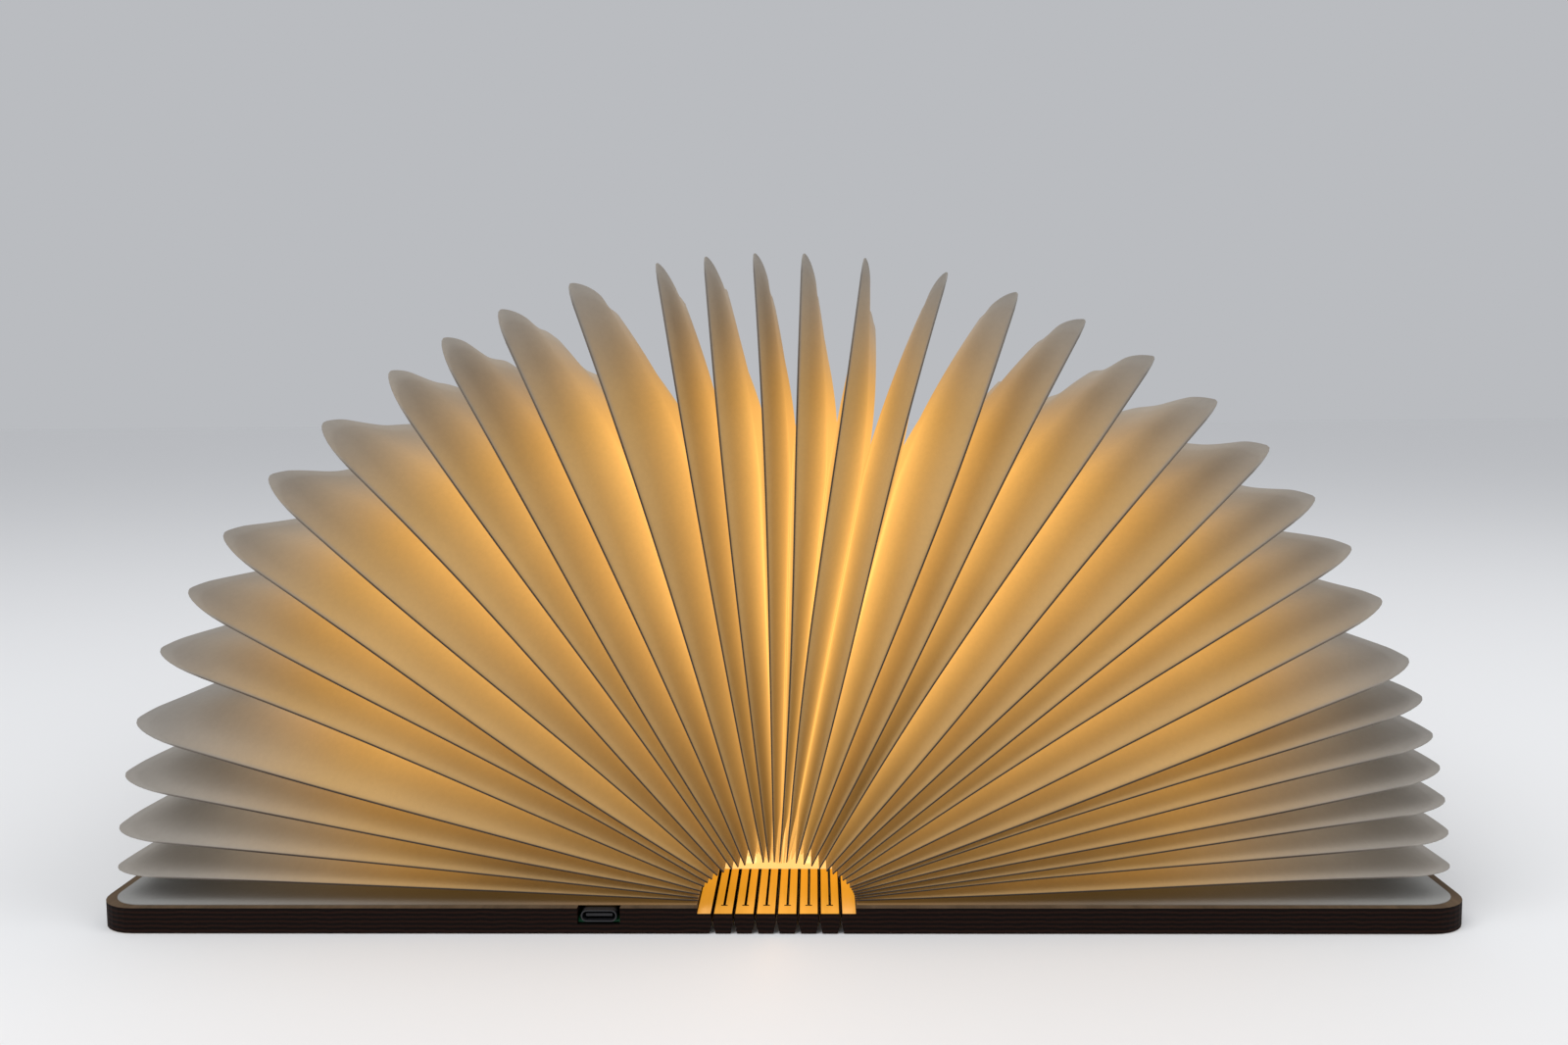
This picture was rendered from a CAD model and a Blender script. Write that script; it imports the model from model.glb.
"""Folding book lamp, open: burnt plywood covers, a kerfed spine, a light board and a fan of paper leaves."""

import math
from types import SimpleNamespace

import bmesh
import bpy
from bpy.props import FloatProperty, FloatVectorProperty, IntProperty, PointerProperty
from mathutils import Matrix, Vector


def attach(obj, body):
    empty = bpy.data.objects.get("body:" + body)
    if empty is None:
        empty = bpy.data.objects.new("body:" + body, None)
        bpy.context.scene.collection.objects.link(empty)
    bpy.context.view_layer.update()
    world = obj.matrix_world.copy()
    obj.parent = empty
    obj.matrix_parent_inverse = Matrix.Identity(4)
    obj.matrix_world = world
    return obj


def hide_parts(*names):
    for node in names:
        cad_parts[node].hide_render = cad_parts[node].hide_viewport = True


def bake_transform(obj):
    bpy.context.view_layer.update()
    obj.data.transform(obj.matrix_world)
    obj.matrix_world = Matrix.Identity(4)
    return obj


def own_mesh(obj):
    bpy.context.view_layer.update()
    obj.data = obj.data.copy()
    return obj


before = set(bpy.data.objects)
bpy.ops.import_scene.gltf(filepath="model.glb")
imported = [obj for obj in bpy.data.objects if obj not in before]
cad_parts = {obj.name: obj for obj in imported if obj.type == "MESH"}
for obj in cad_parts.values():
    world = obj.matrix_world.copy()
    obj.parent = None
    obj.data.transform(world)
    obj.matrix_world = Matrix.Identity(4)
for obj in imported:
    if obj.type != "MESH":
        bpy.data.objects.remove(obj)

bl_info = {
    "name": "Folding Book Lamp",
    "version": (1, 0, 0),
    "blender": (4, 5, 0),
    "location": "View3D > Sidebar > Book Lamp",
    "description": "Builds and finishes a folding book lamp with paper leaves",
    "category": "Object",
}

MM = 0.001
NEARLY_ZERO = 1e-6

# Nodes of the source, from the left cover to the right one

LEAF_NODES = sorted(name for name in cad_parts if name.startswith("leaf_"))
RIB_NODES = sorted(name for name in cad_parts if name.startswith("rib_"))

# Sizes of the source that the paper and the light board follow

LEAF_LEN = 152.5 * MM           # from the arch over the spine to the outer fold
LEAF_HALF = 104.75 * MM         # half a leaf along the spine
LEAF_EDGE = 0.16 * MM           # half the thickness of a closed double edge
BOUND_HALF = 73.5 * MM          # half the bound edge and half the light board, along the spine
BOUND_LEN = 11.9 * MM           # from the arch down to the spine, on an upright leaf
SHEET_TOP = 6.7 * MM            # top of the end sheets
RIB_PITCH = 5.4 * MM
FACE_HEIGHT = 4.6 * MM          # the boards' inner face lies above it, the floors of their pockets below
FACE_DEPTH = 0.1 * MM           # the boards' outer face lies below it
LIGHT_BOARD_T = 0.2 * MM
LIGHT_BOARD_Z = 5.28 * MM
LIGHT_BOARD_HALF = 15.6 * MM

# Closed edges of a leaf

SEAM_WIDTH = 0.32 * MM
SEAM_SPAN = (SEAM_WIDTH / 2, SEAM_WIDTH)
GLUED_WIDTH = 0.8 * MM
GLUED_SPAN = (GLUED_WIDTH / 2, GLUED_WIDTH * 1.5)
EDGE_CROWDING = 1.6             # above 1 the mesh steps lie closer together near the closed edges

# Where in the fan a change from none to all takes place, in degrees from upright, positive to the right

PARTING = 1.0                   # the leaves lean away from this direction at their rear ends
TURN_STARTS = (1.0, 9.0)        # away from the parting, to either side
TURN_FADES = (24.0, 50.0)       # away from the parting, to either side
LEAN_CHANGES = (3.0, 20.0)      # from gaps filled by their left leaf to gaps filled by their right leaf
CORNERS_SHARPEN = (-38.0, -12.0)        # from round corners to pointed ones
CORNERS_BLUNTEN = (28.0, 74.0)          # and back to round ones
LIES_LOW = (60.0, 88.0)         # to either side

# Where on a leaf a change from none to all takes place, as a distance

TURN_DEPTH = (20 * MM, 190 * MM)        # behind the front edge
REAR_DEPTH = (60 * MM, 205 * MM)        # behind the front edge
SAG_START = 6 * MM                      # behind the front edge, on a leaf with round corners
SAG_END = (24 * MM, 64 * MM)            # behind the front edge, on an upright leaf and on a lying one
BOUND_ENDS = (0.0, 3 * MM)              # inwards from either end of the bound edge
OFF_THE_SPINE = (-2 * MM, 8 * MM)       # outwards from the arch

# What changes with how upright a leaf stands: a pair gives the value on a lying leaf and on an upright one

UPRIGHT_POWER = 4               # power of the tilt's cosine
BOUND_POWER = 1.5               # power of the tilt's cosine, for the length of the bound edge
SAG_SHARE = (0.3, 1.0)
REAR_SHARE = (0.2, 1.0)
FOLD_LEAN = (0.25, 0.70)        # share of its lean that a leaf keeps at the outer fold
FOLD_ROUNDNESS = (1.5, 1.25)    # power of the curve in which the two sides meet at the outer fold

# Shapes of the swell, the corners and the waves

PUFF_POWER = 1.3                # power of the curve behind a closed edge
LEAN_POWER = 1.6                # power of the curve behind a closed edge
CORNER_DEPTH_CUT = 0.8          # share that a sharp corner loses along the spine
CORNER_REACH_CUT = 0.7          # share that a sharp corner loses outwards
LONG_WAVE = 57                  # radians a metre
SHORT_WAVE = 130                # radians a metre
SHORT_WAVE_HEIGHT = 0.5         # as a share of the long wave's
SHORT_WAVE_PHASE = 1.7          # as a share of the long wave's
DOUBLE_BOW = 0.4                # share of the bow that swings to both sides
LOW_BOW_CUT = 0.6               # share of the bow that the lowest leaves lose

# Steps from leaf to leaf of what differs between them, in radians

WAVE_STEP = 2.4
GLOW_STEP = 2.4
SHADE_STEP = 1.9
BOW_STEP = 1.7
BOW_START = 0.5
DOUBLE_BOW_STEP = 2.9

# Light in the paper: reaches are shares of the leaf's length outwards from the arch

GLOW_BY_DEPTH = (0.28, 1.18)            # at a closed edge and well behind it
GLOW_DEPTH = (0.0, 26 * MM)
GLOW_AT_SPINE = (0.85, 1.0)             # close to the spine, and further out
GLOW_SPINE_REACH = (0.0, 0.45)
GLOW_FADES = ((0.63, 1.06), (0.45, 0.96))       # on the upper leaves and on the lowest
WARMTH_FADES = ((0.76, 1.05), (0.45, 0.92))     # on the upper leaves and on the lowest
CREASE_GLOW = 0.5                       # where two leaves meet
CREASE_WIDTH = 3 * MM
CREASE_REACH = (0.45, 0.85)
GLUED_DIMS = 0.7                        # share of the light that a glued edge loses
GLUED_COOLS = 0.6                       # share of the warmth that a glued edge loses, further out
GLUED_COOL_REACH = (0.6, 0.9)
SHADE = 0.25                            # thrown by the next leaf along a closed edge
SHADE_SPREAD = 0.20                     # how much the shade differs from leaf to leaf
SHADE_DEPTH = (6 * MM, 30 * MM)
SHADE_REACH = (0.10, 0.60)
LOW_DIMS = 0.40                         # share of the light that the lowest leaves lack
LOW_GLOW = 0.10                         # daylight between the unlit ends of the lowest leaves
LOW_GLOW_REACH = (0.3, 0.8)
SEAM_FADE = 0.6                         # share of its darkness that a seam loses at its outer end
SEAM_REACH = (0.7, 1.0)

# Grain and fibres: the stretch makes a pattern longer along the spine, and a scale is its fineness

FIBRE_STRETCH = (1.0, 0.35, 1.0)
FIBRE_SCALE = 900.0
CLOUD_SCALE = 45.0
CLOUD_STRENGTH = 0.12
SPECKLE = 0.94                  # brightness of the paper between its fibres
GRAIN_STRETCH = (1.0, 0.06, 1.0)
GRAIN_SCALE = 260.0
GRAIN_DARK = 0.62               # brightness of the dark grain lines
FIGURE_SCALE = 40.0
FIGURE_DARK = 0.80
PLY_SCALE = 260.0
EDGE_SLOPE = 0.25               # steeper than this is a cut edge
LIT_SLOPE = 0.5                 # flatter than this is lit by the lamp
LIT_HALF = 21 * MM              # half the width of the lit wood of the spine
END_SHEET_WARM = (30 * MM, 160 * MM)    # away from the middle of the spine

# Bends of the light board

BEND_CUTS = 23

# Stage

SENSOR_WIDTH = 36.0
CLIP_START = 10 * MM
FLOOR_HALF = 6.0
FLOOR_DROP = 0.2 * MM           # under the covers, so that the two don't share a plane
LIGHT_AIM = (0, 0, 50 * MM)


class LampLeafSettings(bpy.types.PropertyGroup):
    """Form and light of the paper leaves"""
    puff_depth: FloatProperty(
        name="Puff depth", description="Distance behind a closed edge at which neighbouring leaves touch",
        default=27 * MM, min=5 * MM, max=60 * MM, unit="LENGTH")
    lean_depth: FloatProperty(
        name="Lean depth", description="Distance behind a closed edge at which a leaf has leant over fully",
        default=20 * MM, min=5 * MM, max=60 * MM, unit="LENGTH")
    full_reach: FloatProperty(
        name="Full reach", description="Distance from the spine out to which the leaves fill their gaps",
        default=96 * MM, min=20 * MM, max=140 * MM, unit="LENGTH")
    clearance: FloatProperty(
        name="Clearance", description="Gap left between two puffed leaves where they meet",
        default=0.12 * MM, min=0.02 * MM, max=1 * MM, unit="LENGTH")
    bow: FloatProperty(
        name="Bow", description="How far the closed edges bend sideways halfway out",
        default=1.3 * MM, min=0.0, max=3 * MM, unit="LENGTH")
    twist: FloatProperty(
        name="Twist", description="How much further the upper leaves lean outwards at their rear ends",
        default=math.radians(4.8), min=0.0, max=math.radians(8), subtype="ANGLE")
    fold_dip: FloatProperty(
        name="Fold dip", description="How far the outer fold lies behind the corner of the leaf",
        default=7 * MM, min=0.0, max=20 * MM, unit="LENGTH")
    rear_dip: FloatProperty(
        name="Rear dip", description="How much lower the outer fold lies at its rear end",
        default=8 * MM, min=0.0, max=30 * MM, unit="LENGTH")
    fold_wave: FloatProperty(
        name="Fold wave", description="Height of the slow waves in the outer fold",
        default=0.6 * MM, min=0.0, max=4 * MM, unit="LENGTH")
    corner_depth: FloatProperty(
        name="Corner depth", description="Width of the rounding of the outer corners, along the spine",
        default=9 * MM, min=1 * MM, max=20 * MM, unit="LENGTH")
    corner_reach: FloatProperty(
        name="Corner reach", description="Length of the rounding of the outer corners, outwards",
        default=15 * MM, min=1 * MM, max=30 * MM, unit="LENGTH")
    lean: FloatProperty(
        name="Lean", description="Share of a gap that its lower leaf fills on the sides of the fan",
        default=0.86, min=0.5, max=0.95, subtype="FACTOR")
    steps_out: IntProperty(
        name="Steps outwards", description="Mesh steps from the spine to the outer fold",
        default=40, min=8, max=120)
    steps_along: IntProperty(
        name="Steps along", description="Mesh steps along the spine", default=72, min=16, max=200)
    glow: FloatProperty(
        name="Glow", description="Strength of the light that the paper lets through",
        default=0.62, min=0.0, max=5.0)
    unevenness: FloatProperty(
        name="Unevenness", description="How much the glow differs from leaf to leaf",
        default=0.10, min=0.0, max=0.5, subtype="FACTOR")
    warm: FloatVectorProperty(
        name="Warm paper", description="Colour of the paper where the light falls on it",
        subtype="COLOR", default=(0.37, 0.245, 0.11), min=0.0, max=1.0)
    unlit: FloatVectorProperty(
        name="Unlit paper", description="Colour of the paper where little light reaches",
        subtype="COLOR", default=(0.25, 0.235, 0.215), min=0.0, max=1.0)
    lamplight: FloatVectorProperty(
        name="Lamplight", description="Colour of the light that comes through the paper",
        subtype="COLOR", default=(1.0, 0.57, 0.15), min=0.0, max=1.0)
    daylight: FloatVectorProperty(
        name="Daylight", description="Colour of the light that reaches the unlit ends of the leaves",
        subtype="COLOR", default=(1.0, 0.84, 0.66), min=0.0, max=1.0)
    seam: FloatVectorProperty(
        name="Seam", description="Colour of the sealed edges of the leaves",
        subtype="COLOR", default=(0.045, 0.032, 0.024), min=0.0, max=1.0)


class LampEndSheetSettings(bpy.types.PropertyGroup):
    """Finish of the paper pasted on the covers"""
    pale: FloatVectorProperty(
        name="Pale end", description="Colour of the paper at the outer ends of the covers",
        subtype="COLOR", default=(0.30, 0.30, 0.29), min=0.0, max=1.0)
    shaded: FloatVectorProperty(
        name="Shaded middle", description="Colour of the paper under the lowest leaves",
        subtype="COLOR", default=(0.13, 0.11, 0.09), min=0.0, max=1.0)
    near: FloatVectorProperty(
        name="Near the spine", description="Colour of the paper beside the spine",
        subtype="COLOR", default=(0.20, 0.11, 0.045), min=0.0, max=1.0)
    glow: FloatProperty(
        name="Glow", description="Strength of the lamplight on the paper beside the spine",
        default=0.07, min=0.0, max=5.0)


class LampWoodSettings(bpy.types.PropertyGroup):
    """Finish of the plywood"""
    char: FloatVectorProperty(
        name="Char", description="Colour of the burnt edges",
        subtype="COLOR", default=(0.004, 0.002, 0.0015), min=0.0, max=1.0)
    ply: FloatVectorProperty(
        name="Ply", description="Colour of the lighter plies in a burnt edge",
        subtype="COLOR", default=(0.017, 0.006, 0.0035), min=0.0, max=1.0)
    face: FloatVectorProperty(
        name="Face veneer", description="Colour of the bare wood",
        subtype="COLOR", default=(0.50, 0.33, 0.17), min=0.0, max=1.0)
    rib: FloatVectorProperty(
        name="Rib veneer", description="Colour of the bare wood of the ribs",
        subtype="COLOR", default=(0.42, 0.23, 0.07), min=0.0, max=1.0)
    rim: FloatVectorProperty(
        name="Panel veneer", description="Colour of the rims round the end sheets",
        subtype="COLOR", default=(0.15, 0.10, 0.06), min=0.0, max=1.0)
    lamplight: FloatVectorProperty(
        name="Lamplight on wood", description="Colour of the lit wood of the spine",
        subtype="COLOR", default=(1.0, 0.41, 0.015), min=0.0, max=1.0)
    glow: FloatProperty(
        name="Lamplight strength", description="Strength of the light on the spine",
        default=0.68, min=0.0, max=5.0)


class LampLightSettings(bpy.types.PropertyGroup):
    """Finish of the light board and its chips"""
    board: FloatVectorProperty(
        name="Board", description="Colour of the lit face of the light board",
        subtype="COLOR", default=(0.90, 0.66, 0.28), min=0.0, max=1.0)
    board_glow: FloatProperty(
        name="Board glow", description="Strength of the light from the board",
        default=0.6, min=0.0, max=5.0)
    chips: FloatVectorProperty(
        name="Chips", description="Colour of the light chips",
        subtype="COLOR", default=(1.0, 0.80, 0.42), min=0.0, max=1.0)
    chip_glow: FloatProperty(
        name="Chip glow", description="Strength of the light from the chips",
        default=0.7, min=0.0, max=5.0)


class LampStageSettings(bpy.types.PropertyGroup):
    """Camera, lights and floor"""
    lens: FloatProperty(
        name="Lens", description="Focal length of the camera, in millimetres", default=32.89, min=10, max=200)
    camera_place: FloatVectorProperty(
        name="Camera place", description="Where the camera stands",
        subtype="XYZ", unit="LENGTH", default=(10.53 * MM, -458.0 * MM, 135.5 * MM))
    camera_yaw: FloatProperty(
        name="Camera yaw", description="Turn of the camera about upright",
        subtype="ANGLE", default=math.radians(-1.284))
    camera_pitch: FloatProperty(
        name="Camera pitch", description="How far the camera looks down",
        subtype="ANGLE", default=math.radians(5.13))
    camera_roll: FloatProperty(
        name="Camera roll", description="Tilt of the horizon",
        subtype="ANGLE", default=math.radians(-0.447))
    sky: FloatProperty(
        name="Sky", description="Strength of the even light from all round",
        default=0.75, min=0.0, max=2.0)
    sky_colour: FloatVectorProperty(
        name="Sky colour", description="Colour of the even light from all round",
        subtype="COLOR", default=(0.80, 0.82, 0.86), min=0.0, max=1.0)
    horizon: FloatProperty(
        name="Horizon", description="Brightness of the background as seen, the same as the far floor's",
        default=0.613, min=0.0, max=2.0)
    floor: FloatVectorProperty(
        name="Floor", description="Colour of the floor",
        subtype="COLOR", default=(0.80, 0.80, 0.80), min=0.0, max=1.0)
    key_place: FloatVectorProperty(
        name="Key place", description="Where the stronger soft light hangs",
        subtype="XYZ", unit="LENGTH", default=(-0.6, -0.7, 1.1))
    key_power: FloatProperty(
        name="Key power", description="Watts of the stronger soft light", default=9.0, min=0.0, max=100.0)
    fill_place: FloatVectorProperty(
        name="Fill place", description="Where the weaker soft light hangs",
        subtype="XYZ", unit="LENGTH", default=(0.9, -0.3, 0.9))
    fill_power: FloatProperty(
        name="Fill power", description="Watts of the weaker soft light", default=5.0, min=0.0, max=100.0)
    light_size: FloatProperty(
        name="Light size", description="Width of each soft light",
        default=0.9, min=0.1, max=5.0, unit="LENGTH")


# Materials

def new_material(name):
    """A material with only its output and its main shader, and that shader."""
    material = bpy.data.materials.new(name)
    material.use_nodes = True
    return material, material.node_tree.nodes["Principled BSDF"]


def add_node(tree, kind, **values):
    """Adds a shader node and sets its fields and sockets by name."""
    node = tree.nodes.new(kind)
    for key, value in values.items():
        if hasattr(node, key):
            setattr(node, key, value)
        else:
            node.inputs[key.replace("_", " ")].default_value = value
    return node


def link(tree, a, out, b, into):
    """Joins a named output of one node to a named input of another."""
    tree.links.new(a.outputs[out], b.inputs[into])


def object_coords(tree, scale=(1, 1, 1)):
    """Object coordinates, stretched so that a texture can run with the grain."""
    stretch = add_node(tree, "ShaderNodeMapping", Scale=scale)
    link(tree, add_node(tree, "ShaderNodeTexCoord"), "Object", stretch, "Vector")
    return stretch.outputs["Vector"]


def parts_of(tree, kind):
    """The X, Y and Z of one kind of coordinates."""
    split = add_node(tree, "ShaderNodeSeparateXYZ")
    link(tree, add_node(tree, "ShaderNodeTexCoord"), kind, split, "Vector")
    return split.outputs


def texture(tree, coords, kind, **values):
    """The pattern of a texture node on coordinates, as a socket from 0 to 1."""
    node = add_node(tree, kind, **values)
    tree.links.new(coords, node.inputs["Vector"])
    return node.outputs["Fac"]


def noise(tree, coords, scale, detail=4.0, roughness=0.6):
    return texture(tree, coords, "ShaderNodeTexNoise", Scale=scale, Detail=detail, Roughness=roughness)


def painted(tree, name):
    """A value painted on the mesh, as a socket."""
    return add_node(tree, "ShaderNodeAttribute", attribute_name=name).outputs["Fac"]


def mixed(tree, factor, a, b, blend="MIX"):
    """Colour mix of two colours or sockets by a factor socket or number."""
    mix = tree.nodes.new("ShaderNodeMix")
    mix.data_type = "RGBA"
    mix.blend_type = blend
    for socket, value in (("Factor", factor), ("A", a), ("B", b)):
        target = next(s for s in mix.inputs if s.name == socket and (s.type == "RGBA" or socket == "Factor"))
        if isinstance(value, bpy.types.NodeSocket):
            tree.links.new(value, target)
        elif socket == "Factor":
            target.default_value = value
        else:
            target.default_value = (*value, 1.0)
    return next(s for s in mix.outputs if s.type == "RGBA")


def ramp(tree, source, *stops):
    """Colour ramp over a socket, from (place, colour) pairs."""
    node = tree.nodes.new("ShaderNodeValToRGB")
    elements = node.color_ramp.elements
    while len(elements) < len(stops):
        elements.new(0.5)
    for element, (place, colour) in zip(elements, stops):
        element.position = place
        element.color = (*colour, 1.0)
    tree.links.new(source, node.inputs["Fac"])
    return node.outputs["Color"]


def grey(value):
    return (value, value, value)


def darker(colour, share):
    return tuple(c * share for c in colour)


def bump(tree, shader, source, strength, distance):
    """Small relief from a pattern."""
    node = add_node(tree, "ShaderNodeBump", Strength=strength, Distance=distance)
    tree.links.new(source, node.inputs["Height"])
    link(tree, node, "Normal", shader, "Normal")


def calc(tree, operation, a, b=0.0):
    """One arithmetic step on sockets or numbers."""
    node = tree.nodes.new("ShaderNodeMath")
    node.operation = operation
    for socket, value in zip(node.inputs, (a, b)):
        if isinstance(value, bpy.types.NodeSocket):
            tree.links.new(value, socket)
        else:
            socket.default_value = value
    return node.outputs["Value"]


def fibre_paper(tree, shader, coords):
    """Gives paper the relief of its fibres, and returns the speckle that they leave in its colour."""
    fibres = noise(tree, coords, FIBRE_SCALE, detail=5.0, roughness=0.7)
    bump(tree, shader, fibres, strength=0.08, distance=0.2 * MM)
    return ramp(tree, fibres, (0.3, grey(SPECKLE)), (0.7, grey(1.0)))


def paper_material(settings):
    """Spun fibre paper with the lamp's light coming through it, by the glow painted on the leaves."""
    material, shader = new_material("lit fibre paper")
    tree = material.node_tree
    coords = object_coords(tree, FIBRE_STRETCH)
    speckle = fibre_paper(tree, shader, coords)
    clouds = noise(tree, coords, CLOUD_SCALE, detail=3.0, roughness=0.5)
    uneven = calc(tree, "MULTIPLY", calc(tree, "SUBTRACT", clouds, 0.5), CLOUD_STRENGTH)
    level = calc(tree, "MAXIMUM", calc(tree, "ADD", painted(tree, "glow"), uneven), 0.0)
    warmth = painted(tree, "warmth")
    seam = painted(tree, "seam")
    colour = mixed(tree, warmth, settings.unlit, settings.warm)
    colour = mixed(tree, 1.0, colour, speckle, "MULTIPLY")
    colour = mixed(tree, seam, colour, settings.seam)
    light = mixed(tree, warmth, settings.daylight, settings.lamplight)
    light = mixed(tree, 1.0, light, speckle, "MULTIPLY")
    through = calc(tree, "MULTIPLY", level, calc(tree, "SUBTRACT", 1.0, seam))
    tree.links.new(colour, shader.inputs["Base Color"])
    tree.links.new(light, shader.inputs["Emission Color"])
    tree.links.new(calc(tree, "MULTIPLY", through, settings.glow), shader.inputs["Emission Strength"])
    shader.inputs["Roughness"].default_value = 0.75
    shader.inputs["Specular IOR Level"].default_value = 0.25
    return material


def end_sheet_material(settings, lamplight):
    """Plain fibre paper pasted on the covers, shaded under the lowest leaves and warmed near the spine."""
    material, shader = new_material("end sheet paper")
    tree = material.node_tree
    speckle = fibre_paper(tree, shader, object_coords(tree, FIBRE_STRETCH))
    near = add_node(tree, "ShaderNodeMapRange", From_Min=END_SHEET_WARM[0], From_Max=END_SHEET_WARM[1],
                    To_Min=1.0, To_Max=0.0)
    tree.links.new(calc(tree, "ABSOLUTE", parts_of(tree, "Object")["X"]), near.inputs["Value"])
    colour = ramp(
        tree, near.outputs["Result"], (0.0, settings.pale), (0.6, settings.shaded), (1.0, settings.near))
    colour = mixed(tree, 1.0, colour, speckle, "MULTIPLY")
    tree.links.new(colour, shader.inputs["Base Color"])
    shader.inputs["Emission Color"].default_value = (*lamplight, 1.0)
    glow = calc(tree, "MULTIPLY", near.outputs["Result"], settings.glow)
    tree.links.new(glow, shader.inputs["Emission Strength"])
    shader.inputs["Roughness"].default_value = 0.8
    return material


def wood_material(name, settings, face, glow=0.0):
    """Birch plywood: grained faces, and laser-cut edges and pockets burnt dark with the plies showing."""
    material, shader = new_material(name)
    tree = material.node_tree
    place = parts_of(tree, "Object")
    facing = parts_of(tree, "Normal")
    along = object_coords(tree, GRAIN_STRETCH)
    grain = noise(tree, along, GRAIN_SCALE, detail=6.0, roughness=0.65)
    figure = noise(tree, along, FIGURE_SCALE, detail=3.0, roughness=0.5)
    shade = ramp(tree, figure, (0.3, grey(FIGURE_DARK)), (0.7, grey(1.0)))
    veneer = ramp(tree, grain, (0.30, darker(face, GRAIN_DARK)), (0.70, face))
    veneer = mixed(tree, 1.0, veneer, shade, "MULTIPLY")
    plies = texture(tree, object_coords(tree), "ShaderNodeTexWave",
                    bands_direction="Z", Scale=PLY_SCALE, Distortion=2.2, Detail=3.0)
    burnt = ramp(tree, plies, (0.35, settings.char), (0.85, settings.ply))

    slope = calc(tree, "SUBTRACT", 1.0, calc(tree, "ABSOLUTE", facing["Z"]))
    edge = calc(tree, "GREATER_THAN", slope, EDGE_SLOPE)
    inner_face = calc(tree, "GREATER_THAN", place["Z"], FACE_HEIGHT)
    outer_face = calc(tree, "LESS_THAN", place["Z"], FACE_DEPTH)
    within = calc(tree, "SUBTRACT", 1.0, calc(tree, "MAXIMUM", inner_face, outer_face))
    colour = mixed(tree, calc(tree, "MAXIMUM", edge, within), veneer, burnt)
    tree.links.new(colour, shader.inputs["Base Color"])
    shader.inputs["Roughness"].default_value = 0.75
    shader.inputs["Specular IOR Level"].default_value = 0.1
    if glow:
        near = calc(tree, "LESS_THAN", calc(tree, "ABSOLUTE", place["X"]), LIT_HALF)
        up = calc(tree, "GREATER_THAN", facing["Z"], LIT_SLOPE)
        lit = calc(tree, "MULTIPLY", near, calc(tree, "MULTIPLY", up, inner_face))
        light = mixed(tree, 1.0, settings.lamplight, shade, "MULTIPLY")
        tree.links.new(light, shader.inputs["Emission Color"])
        tree.links.new(calc(tree, "MULTIPLY", lit, glow), shader.inputs["Emission Strength"])
    bump(tree, shader, grain, strength=0.25, distance=0.3 * MM)
    return material


def fitting_material(name, colour, roughness, metallic=0.0, scale=600.0, spread=0.15, glow=0.0):
    """Plastic, metal or glowing parts with a fine mottled surface."""
    material, shader = new_material(name)
    tree = material.node_tree
    mottle = noise(tree, object_coords(tree), scale)
    tint = ramp(tree, mottle, (0.3, darker(colour, 1 - spread)), (0.7, colour))
    tree.links.new(tint, shader.inputs["Base Color"])
    shader.inputs["Roughness"].default_value = roughness
    shader.inputs["Metallic"].default_value = metallic
    if glow:
        tree.links.new(tint, shader.inputs["Emission Color"])
        shader.inputs["Emission Strength"].default_value = glow
    bump(tree, shader, mottle, strength=0.1, distance=0.1 * MM)
    return material


def finish_nodes(material, *names):
    """Gives CAD nodes a material in place of their plain colour."""
    for name in names:
        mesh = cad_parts[name].data
        mesh.materials.clear()
        mesh.materials.append(material)


def mesh_object(name, bm, material):
    """Turns a bmesh into an object at the origin, with one material."""
    mesh = bpy.data.meshes.new(name)
    bm.to_mesh(mesh)
    bm.free()
    mesh.materials.append(material)
    piece = bpy.data.objects.new(name, mesh)
    bpy.context.scene.collection.objects.link(piece)
    return piece


# Leaves

def clamped(x):
    return min(max(x, 0.0), 1.0)


def smooth(x, span):
    """Smooth step from 0 at the start of a span to 1 at its end."""
    low, high = span
    t = clamped((x - low) / (high - low))
    return t * t * (3 - 2 * t)


def rise(x, length, power):
    """Curve from 0 that rises at once and levels out at 1."""
    return 1 - (1 - clamped(x / length)) ** power


def between(pair, share):
    """The value at a share of the way from the first of a pair to the second."""
    first, second = pair
    return first + (second - first) * share


def wander(index, step, start=0.0):
    """A number from -1 to 1 that differs from leaf to leaf."""
    return math.sin(index * step + start)


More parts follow.
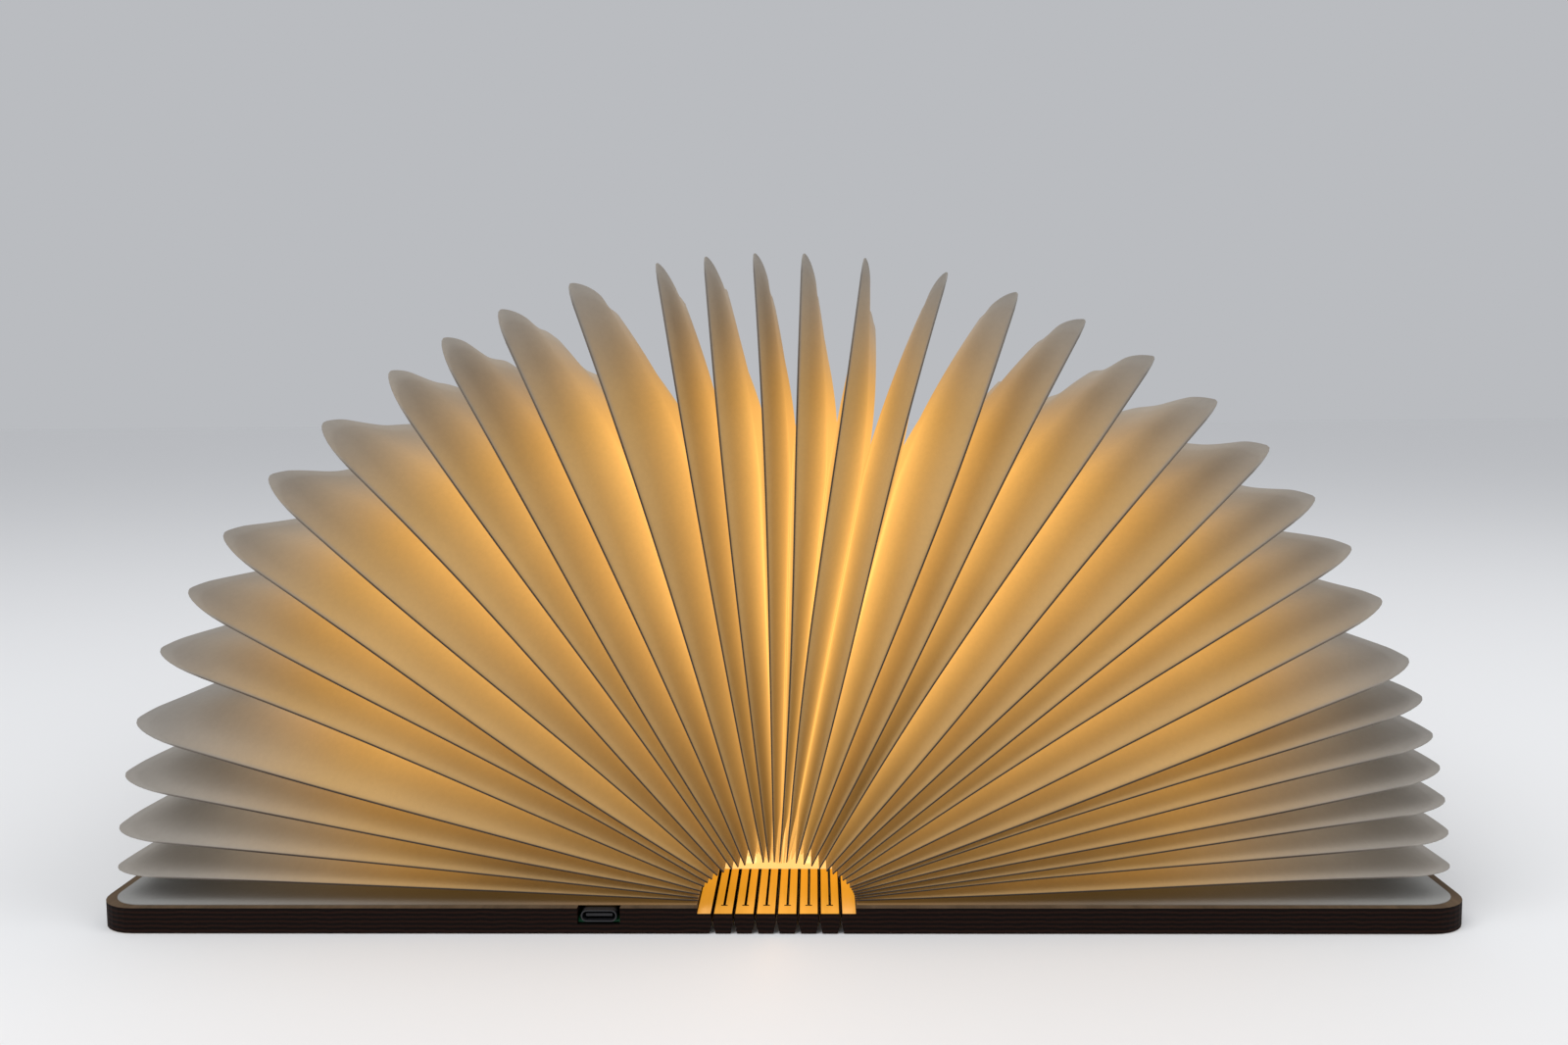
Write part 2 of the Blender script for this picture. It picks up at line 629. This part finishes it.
class Leaf:
    """Where a leaf lies, read from its CAD node, and what sets it apart from the other leaves."""

    def __init__(self, form, index, node):
        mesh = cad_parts[node].data
        face = max(mesh.polygons, key=lambda p: p.area)
        normal = Vector((face.normal.x, 0, face.normal.z)).normalized()
        if normal.x < 0 or (abs(normal.x) < NEARLY_ZERO and normal.z > 0):
            normal = -normal
        out = Vector((-normal.z, 0, normal.x))
        reach = max(v.co.dot(out) for v in mesh.vertices)
        across = [v.co.dot(normal) for v in mesh.vertices]
        middle = (min(across) + max(across)) / 2
        self.index = index
        self.node = node
        self.normal = normal
        self.out = out
        self.root = out * (reach - LEAF_LEN) + normal * middle

        tilt = math.atan2(out.x, out.z)
        self.degrees = math.degrees(tilt)
        self.upright = math.cos(tilt) ** UPRIGHT_POWER
        self.low = smooth(abs(self.degrees), LIES_LOW)
        self.sharp = smooth(self.degrees, CORNERS_SHARPEN) * (1 - smooth(self.degrees, CORNERS_BLUNTEN))
        self.bound = BOUND_LEN * max(math.cos(tilt), 0.0) ** BOUND_POWER
        self.sag_span = (SAG_START * (1 - self.sharp), between(SAG_END, 1 - self.upright))
        self.turn = self.rear_turn(form.twist)

        self.brightness = (1 - LOW_DIMS * self.low) * (1 + form.unevenness * wander(index, GLOW_STEP))
        self.shade = SHADE + SHADE_SPREAD * wander(index, SHADE_STEP)
        self.glow_fades = tuple(between(pair, self.low) for pair in zip(*GLOW_FADES))
        self.warmth_fades = tuple(between(pair, self.low) for pair in zip(*WARMTH_FADES))

    def rear_turn(self, twist):
        """Slope by which the leaf leans outwards at its rear end: full on the leaves beside the parting."""
        away = self.degrees - PARTING
        share = smooth(abs(away), TURN_STARTS) * (1 - smooth(abs(away), TURN_FADES))
        return math.copysign(math.tan(twist) * share, away)

    def point(self, u):
        """The point of the flat leaf that lies u outwards from the arch."""
        return self.root + self.out * u

    def turned(self, u, y):
        """How far the leaf has moved sideways by its turn, which grows from its front edge to its rear."""
        return u * self.turn * smooth(LEAF_HALF + y, TURN_DEPTH)


def room_beside(form, leaf, other, u, y):
    """Room for a leaf towards its neighbour, or to a cover. The lower of two leaves fills more of a gap."""
    if other is None:
        return max(leaf.point(u).z - SHEET_TOP - form.clearance, LEAF_EDGE)
    gap_direction = (leaf.degrees + other.degrees) / 2
    left_share = between((form.lean, 1 - form.lean), smooth(gap_direction, LEAN_CHANGES))
    share = left_share if other.degrees > leaf.degrees else 1 - left_share
    opened = math.copysign(1, other.degrees - leaf.degrees) * (other.turned(u, y) - leaf.turned(u, y))
    gap = (leaf.point(u) - other.point(u)).length + opened
    return max(gap * share - form.clearance, LEAF_EDGE)


def outer_fold(form, leaf, y):
    """How far out the fold of a leaf lies at y: cut at both corners, lower and wavy behind the front one."""
    front = LEAF_HALF + y
    depth = LEAF_HALF - abs(y)
    phase = leaf.index * WAVE_STEP
    wave = math.sin(y * LONG_WAVE + phase)
    wave += SHORT_WAVE_HEIGHT * math.sin(y * SHORT_WAVE + phase * SHORT_WAVE_PHASE)
    sag = between(SAG_SHARE, leaf.upright) * (form.fold_dip + form.fold_wave * wave)
    sag *= smooth(front, leaf.sag_span)
    rear = between(REAR_SHARE, leaf.upright) * form.rear_dip * smooth(front, REAR_DEPTH)
    corner_depth = form.corner_depth * (1 - CORNER_DEPTH_CUT * leaf.sharp)
    corner_reach = form.corner_reach * (1 - CORNER_REACH_CUT * leaf.sharp)
    cut = clamped(1 - depth / corner_depth)
    return LEAF_LEN - rear - sag - corner_reach * (1 - math.sqrt(1 - cut * cut))


def puffed(form, leaf, neighbours, u, u_out, y, side):
    """How far one side of a leaf lies from the flat leaf's middle, at u outwards and y along the spine."""
    out = max(u, 0.0)
    depth = LEAF_HALF - abs(y)
    to_left, to_right = (room_beside(form, leaf, other, out, y) for other in neighbours)
    spread = rise(u_out - u, u_out - form.full_reach, between(FOLD_ROUNDNESS, leaf.upright))
    swell = rise(depth, form.puff_depth, PUFF_POWER)
    centre = (to_right - to_left) / 2 * rise(depth, form.lean_depth, LEAN_POWER)
    centre *= between((between(FOLD_LEAN, leaf.upright), 1), spread)
    half = ((to_right + to_left) / 2 - LEAF_EDGE) * swell * spread
    run = math.pi * clamped(u / LEAF_LEN)
    bow = math.sin(run) * wander(leaf.index, BOW_STEP, BOW_START)
    bow += DOUBLE_BOW * math.sin(2 * run) * wander(leaf.index, DOUBLE_BOW_STEP)
    bow *= form.bow * (1 - LOW_BOW_CUT * leaf.low) * (1 - swell)
    away = centre + bow + side * half + leaf.turned(out, y)
    return smooth(u, OFF_THE_SPINE) * away + side * LEAF_EDGE


def glow_at(form, leaf, reach, depth):
    """Light in the paper: fading outwards, dim along the glued edges, bright where two leaves meet."""
    glow = leaf.brightness * between(GLOW_AT_SPINE, smooth(reach, GLOW_SPINE_REACH))
    glow *= 1 - smooth(reach, leaf.glow_fades)
    crease = math.exp(-((depth - form.puff_depth) / CREASE_WIDTH) ** 2) * (1 - smooth(reach, CREASE_REACH))
    glow *= between(GLOW_BY_DEPTH, smooth(depth, GLOW_DEPTH)) + CREASE_GLOW * crease
    glow *= 1 - GLUED_DIMS * (1 - smooth(depth, GLUED_SPAN))
    glow *= 1 - leaf.shade * (1 - smooth(depth, SHADE_DEPTH)) * (1 - smooth(reach, SHADE_REACH))
    return glow + LOW_GLOW * leaf.low * smooth(reach, LOW_GLOW_REACH)


def warmth_at(leaf, reach, depth):
    """1 where the paper has the lamp's colour, 0 where it has the room's."""
    glued = 1 - smooth(depth, GLUED_SPAN)
    cooled = GLUED_COOLS * glued * smooth(reach, GLUED_COOL_REACH)
    return (1 - smooth(reach, leaf.warmth_fades)) * (1 - cooled)


def seam_at(reach, depth):
    """1 on a sealed edge, fainter towards its outer end, and 0 behind it."""
    return (1 - smooth(depth, SEAM_SPAN)) * (1 - SEAM_FADE * smooth(reach, SEAM_REACH))


def leaf_mesh(form, leaf, neighbours):
    """A leaf: a flat double sheet, blown up between its closed edges until it meets its neighbours."""
    bm = bmesh.new()
    bmesh.ops.create_grid(bm, x_segments=form.steps_out, y_segments=form.steps_along, size=1.0)
    bmesh.ops.solidify(bm, geom=bm.faces[:], thickness=0.1)
    heights = [v.co.z for v in bm.verts]
    middle = (min(heights) + max(heights)) / 2
    glow = bm.verts.layers.float.new("glow")
    warmth = bm.verts.layers.float.new("warmth")
    seam = bm.verts.layers.float.new("seam")
    for v in bm.verts:
        side = 1 if v.co.z > middle else -1
        y = math.copysign(LEAF_HALF * rise(abs(v.co.y), 1.0, EDGE_CROWDING), v.co.y)
        depth = LEAF_HALF - abs(y)
        u_in = -leaf.bound * smooth(BOUND_HALF - abs(y), BOUND_ENDS)
        u_out = outer_fold(form, leaf, y)
        u = between((u_in, u_out), (v.co.x + 1) / 2)
        v.co = leaf.point(u) + leaf.normal * puffed(form, leaf, neighbours, u, u_out, y, side)
        v.co.y = y
        reach = clamped(u / LEAF_LEN)
        v[glow] = glow_at(form, leaf, reach, depth)
        v[warmth] = warmth_at(leaf, reach, depth)
        v[seam] = seam_at(reach, depth)
    for face in bm.faces:
        face.smooth = True
    return bm


class LAMP_OT_covers(bpy.types.Operator):
    """Finish the two covers: their boards and the panels that hold the electronics in"""
    bl_idname = "lamp.covers"
    bl_label = "Covers"

    def execute(self, context):
        settings = context.scene.lamp_wood
        board = wood_material("burnt cover board", settings, settings.face, settings.glow)
        finish_nodes(board, "right_board", "left_board")
        finish_nodes(wood_material("cover panel", settings, settings.rim), "left_panel", "right_panel")
        return {"FINISHED"}


class LAMP_OT_spine(bpy.types.Operator):
    """Finish the ribs of the spine"""
    bl_idname = "lamp.spine"
    bl_label = "Spine"

    def execute(self, context):
        settings = context.scene.lamp_wood
        finish_nodes(wood_material("spine ribs", settings, settings.rib, settings.glow), *RIB_NODES)
        return {"FINISHED"}


class LAMP_OT_end_sheets(bpy.types.Operator):
    """Finish the end sheets pasted on the covers"""
    bl_idname = "lamp.end_sheets"
    bl_label = "End sheets"

    def execute(self, context):
        scene = context.scene
        paper = end_sheet_material(scene.lamp_end_sheets, scene.lamp_leaves.lamplight)
        finish_nodes(paper, "left_endpaper", "right_endpaper")
        return {"FINISHED"}


class LAMP_OT_light_board(bpy.types.Operator):
    """Lay the light board over the ribs, in stretches that bend at the kerfs, and finish its chips"""
    bl_idname = "lamp.light_board"
    bl_label = "Light board"

    def execute(self, context):
        settings = context.scene.lamp_light
        board = fitting_material(
            "light board", settings.board, roughness=0.5, scale=300.0, spread=0.06, glow=settings.board_glow)
        chips = fitting_material(
            "light chips", settings.chips, roughness=0.3, scale=500.0, spread=0.1, glow=settings.chip_glow)
        finish_nodes(chips, "led_row_left", "led_row_right")
        stretches = len(RIB_NODES) - 1
        for number in range(1, stretches + 1):
            kerf = (number - (stretches + 1) / 2) * RIB_PITCH
            low = -LIGHT_BOARD_HALF if number == 1 else kerf - RIB_PITCH / 2
            high = LIGHT_BOARD_HALF if number == stretches else kerf + RIB_PITCH / 2
            piece = mesh_object("light_board_%d" % number, self.stretch(low, high), board)
            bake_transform(piece)
            if number == 1:
                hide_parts("led_board")
        return {"FINISHED"}

    def stretch(self, low, high):
        """A flat stretch of the board from low to high, cut across so that it can bend."""
        bm = bmesh.new()
        bmesh.ops.create_cube(bm, size=1.0)
        bmesh.ops.scale(bm, vec=(high - low, 2 * BOUND_HALF, LIGHT_BOARD_T), verts=bm.verts)
        bmesh.ops.translate(bm, vec=((low + high) / 2, 0, LIGHT_BOARD_Z), verts=bm.verts)
        across = [e for e in bm.edges if abs(e.verts[0].co.x - e.verts[1].co.x) > RIB_PITCH / 2]
        bmesh.ops.subdivide_edges(bm, edges=across, cuts=BEND_CUTS, use_grid_fill=True)
        return bm


class LAMP_OT_electronics(bpy.types.Operator):
    """Finish the battery, circuit, socket, switch, wires and magnets"""
    bl_idname = "lamp.electronics"
    bl_label = "Electronics"

    def execute(self, context):
        foil = fitting_material("foil pouch", (0.60, 0.61, 0.63), roughness=0.35, metallic=0.6, scale=250.0)
        wire = fitting_material("red wire", (0.50, 0.02, 0.015), roughness=0.45)
        circuit = fitting_material("circuit board", (0.02, 0.16, 0.07), roughness=0.4, spread=0.3)
        shell = fitting_material("socket shell", (0.035, 0.035, 0.04), roughness=0.45, metallic=0.4)
        package = fitting_material("black package", (0.02, 0.02, 0.02), roughness=0.5)
        nickel = fitting_material("nickel", (0.62, 0.62, 0.64), roughness=0.25, metallic=1.0)
        finish_nodes(foil, "battery")
        finish_nodes(wire, "battery_lead", "led_lead")
        finish_nodes(circuit, "controller_board")
        finish_nodes(shell, "usb_socket")
        finish_nodes(package, "hall_switch")
        finish_nodes(nickel, "left_magnets", "right_magnets", "switch_magnet")
        return {"FINISHED"}


class LAMP_OT_leaves(bpy.types.Operator):
    """Blow up the paper leaves and light them from the spine"""
    bl_idname = "lamp.leaves"
    bl_label = "Paper leaves"

    def execute(self, context):
        settings = context.scene.lamp_leaves
        paper = paper_material(settings)
        # A plain copy of the settings, which the mesh loops read far faster
        form = SimpleNamespace(**{key: getattr(settings, key) for key in LampLeafSettings.__annotations__})
        leaves = [Leaf(form, index, node) for index, node in enumerate(LEAF_NODES)]
        for leaf, left, right in zip(leaves, [None] + leaves, leaves[1:] + [None]):
            piece = mesh_object("paper_" + leaf.node, leaf_mesh(form, leaf, (left, right)), paper)
            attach(piece, leaf.node)
            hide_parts(leaf.node)
            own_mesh(piece)
        return {"FINISHED"}


class LAMP_OT_stage(bpy.types.Operator):
    """Set up the pale floor, the lights and the camera"""
    bl_idname = "lamp.stage"
    bl_label = "Stage"

    def execute(self, context):
        settings = context.scene.lamp_stage
        self.lay_floor(settings)
        self.light_all_round(settings)
        self.hang_light("soft key", settings.key_place, settings.light_size, settings.key_power)
        self.hang_light("soft fill", settings.fill_place, settings.light_size, settings.fill_power)
        self.place_camera(settings)
        context.scene.view_settings.view_transform = "Standard"
        return {"FINISHED"}

    def lay_floor(self, settings):
        """A pale floor that runs out to the horizon."""
        material, shader = new_material("floor")
        shader.inputs["Base Color"].default_value = (*settings.floor, 1.0)
        shader.inputs["Roughness"].default_value = 0.9
        bm = bmesh.new()
        bmesh.ops.create_grid(bm, x_segments=8, y_segments=8, size=FLOOR_HALF)
        bmesh.ops.translate(bm, vec=(0, 0, -FLOOR_DROP), verts=bm.verts)
        mesh_object("floor", bm, material)

    def light_all_round(self, settings):
        """Even light from the world, which looks as bright as the far floor where it is seen or mirrored."""
        world = bpy.data.worlds.new("studio")
        world.use_nodes = True
        tree = world.node_tree
        background = tree.nodes["Background"]
        background.inputs["Color"].default_value = (*settings.sky_colour, 1.0)
        rays = add_node(tree, "ShaderNodeLightPath").outputs
        seen = calc(tree, "MAXIMUM", rays["Is Camera Ray"], rays["Is Glossy Ray"])
        seen = calc(tree, "MAXIMUM", seen, rays["Is Transmission Ray"])
        dimmed = calc(tree, "MULTIPLY", seen, settings.sky - settings.horizon)
        tree.links.new(calc(tree, "SUBTRACT", settings.sky, dimmed), background.inputs["Strength"])
        bpy.context.scene.world = world

    def hang_light(self, name, place, size, power):
        """A soft square light that points at the fan."""
        data = bpy.data.lights.new(name, "AREA")
        data.size = size
        data.energy = power
        light = bpy.data.objects.new(name, data)
        light.location = place
        light.rotation_euler = (Vector(LIGHT_AIM) - Vector(place)).to_track_quat("-Z", "Y").to_euler()
        bpy.context.scene.collection.objects.link(light)

    def place_camera(self, settings):
        """A camera turned by its yaw, pitch and roll."""
        yaw, pitch, roll = settings.camera_yaw, settings.camera_pitch, settings.camera_roll
        forward = Vector((math.sin(yaw) * math.cos(pitch), math.cos(yaw) * math.cos(pitch), -math.sin(pitch)))
        level = forward.cross(Vector((0, 0, 1))).normalized()
        above = level.cross(forward)
        right = level * math.cos(roll) + above * math.sin(roll)
        up = above * math.cos(roll) - level * math.sin(roll)
        turn = Matrix((right, up, -forward)).transposed().to_4x4()
        camera = bpy.data.objects.new("camera", bpy.data.cameras.new("camera"))
        camera.data.lens = settings.lens
        camera.data.sensor_width = SENSOR_WIDTH
        camera.data.clip_start = CLIP_START
        camera.matrix_world = Matrix.Translation(settings.camera_place) @ turn
        bpy.context.scene.collection.objects.link(camera)
        bpy.context.scene.camera = camera


SETTINGS = {
    "lamp_wood": LampWoodSettings,
    "lamp_end_sheets": LampEndSheetSettings,
    "lamp_light": LampLightSettings,
    "lamp_leaves": LampLeafSettings,
    "lamp_stage": LampStageSettings,
}


class LAMP_PT_panel(bpy.types.Panel):
    """Steps that build and finish the lamp"""
    bl_idname = "LAMP_PT_panel"
    bl_label = "Folding Book Lamp"
    bl_space_type = "VIEW_3D"
    bl_region_type = "UI"
    bl_category = "Book Lamp"

    def draw(self, context):
        steps = (
            ("lamp_wood", ("lamp.covers", "lamp.spine")),
            ("lamp_end_sheets", ("lamp.end_sheets",)),
            ("lamp_light", ("lamp.light_board", "lamp.electronics")),
            ("lamp_leaves", ("lamp.leaves",)),
            ("lamp_stage", ("lamp.stage",)),
        )
        for name, operators in steps:
            box = self.layout.box()
            for key in SETTINGS[name].__annotations__:
                box.prop(getattr(context.scene, name), key)
            for operator in operators:
                box.operator(operator)


OPERATORS = (LAMP_OT_covers, LAMP_OT_spine, LAMP_OT_end_sheets, LAMP_OT_light_board, LAMP_OT_electronics,
             LAMP_OT_leaves, LAMP_OT_stage)
CLASSES = (*SETTINGS.values(), *OPERATORS, LAMP_PT_panel)


def register():
    for cls in CLASSES:
        bpy.utils.register_class(cls)
    for name, cls in SETTINGS.items():
        setattr(bpy.types.Scene, name, PointerProperty(type=cls))


def unregister():
    for name in SETTINGS:
        delattr(bpy.types.Scene, name)
    for cls in reversed(CLASSES):
        bpy.utils.unregister_class(cls)


def main():
    register()
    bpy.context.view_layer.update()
    bpy.ops.lamp.covers()
    bpy.ops.lamp.spine()
    bpy.ops.lamp.end_sheets()
    bpy.ops.lamp.light_board()
    bpy.ops.lamp.electronics()
    bpy.ops.lamp.leaves()
    bpy.ops.lamp.stage()


if __name__ == "__main__":
    main()
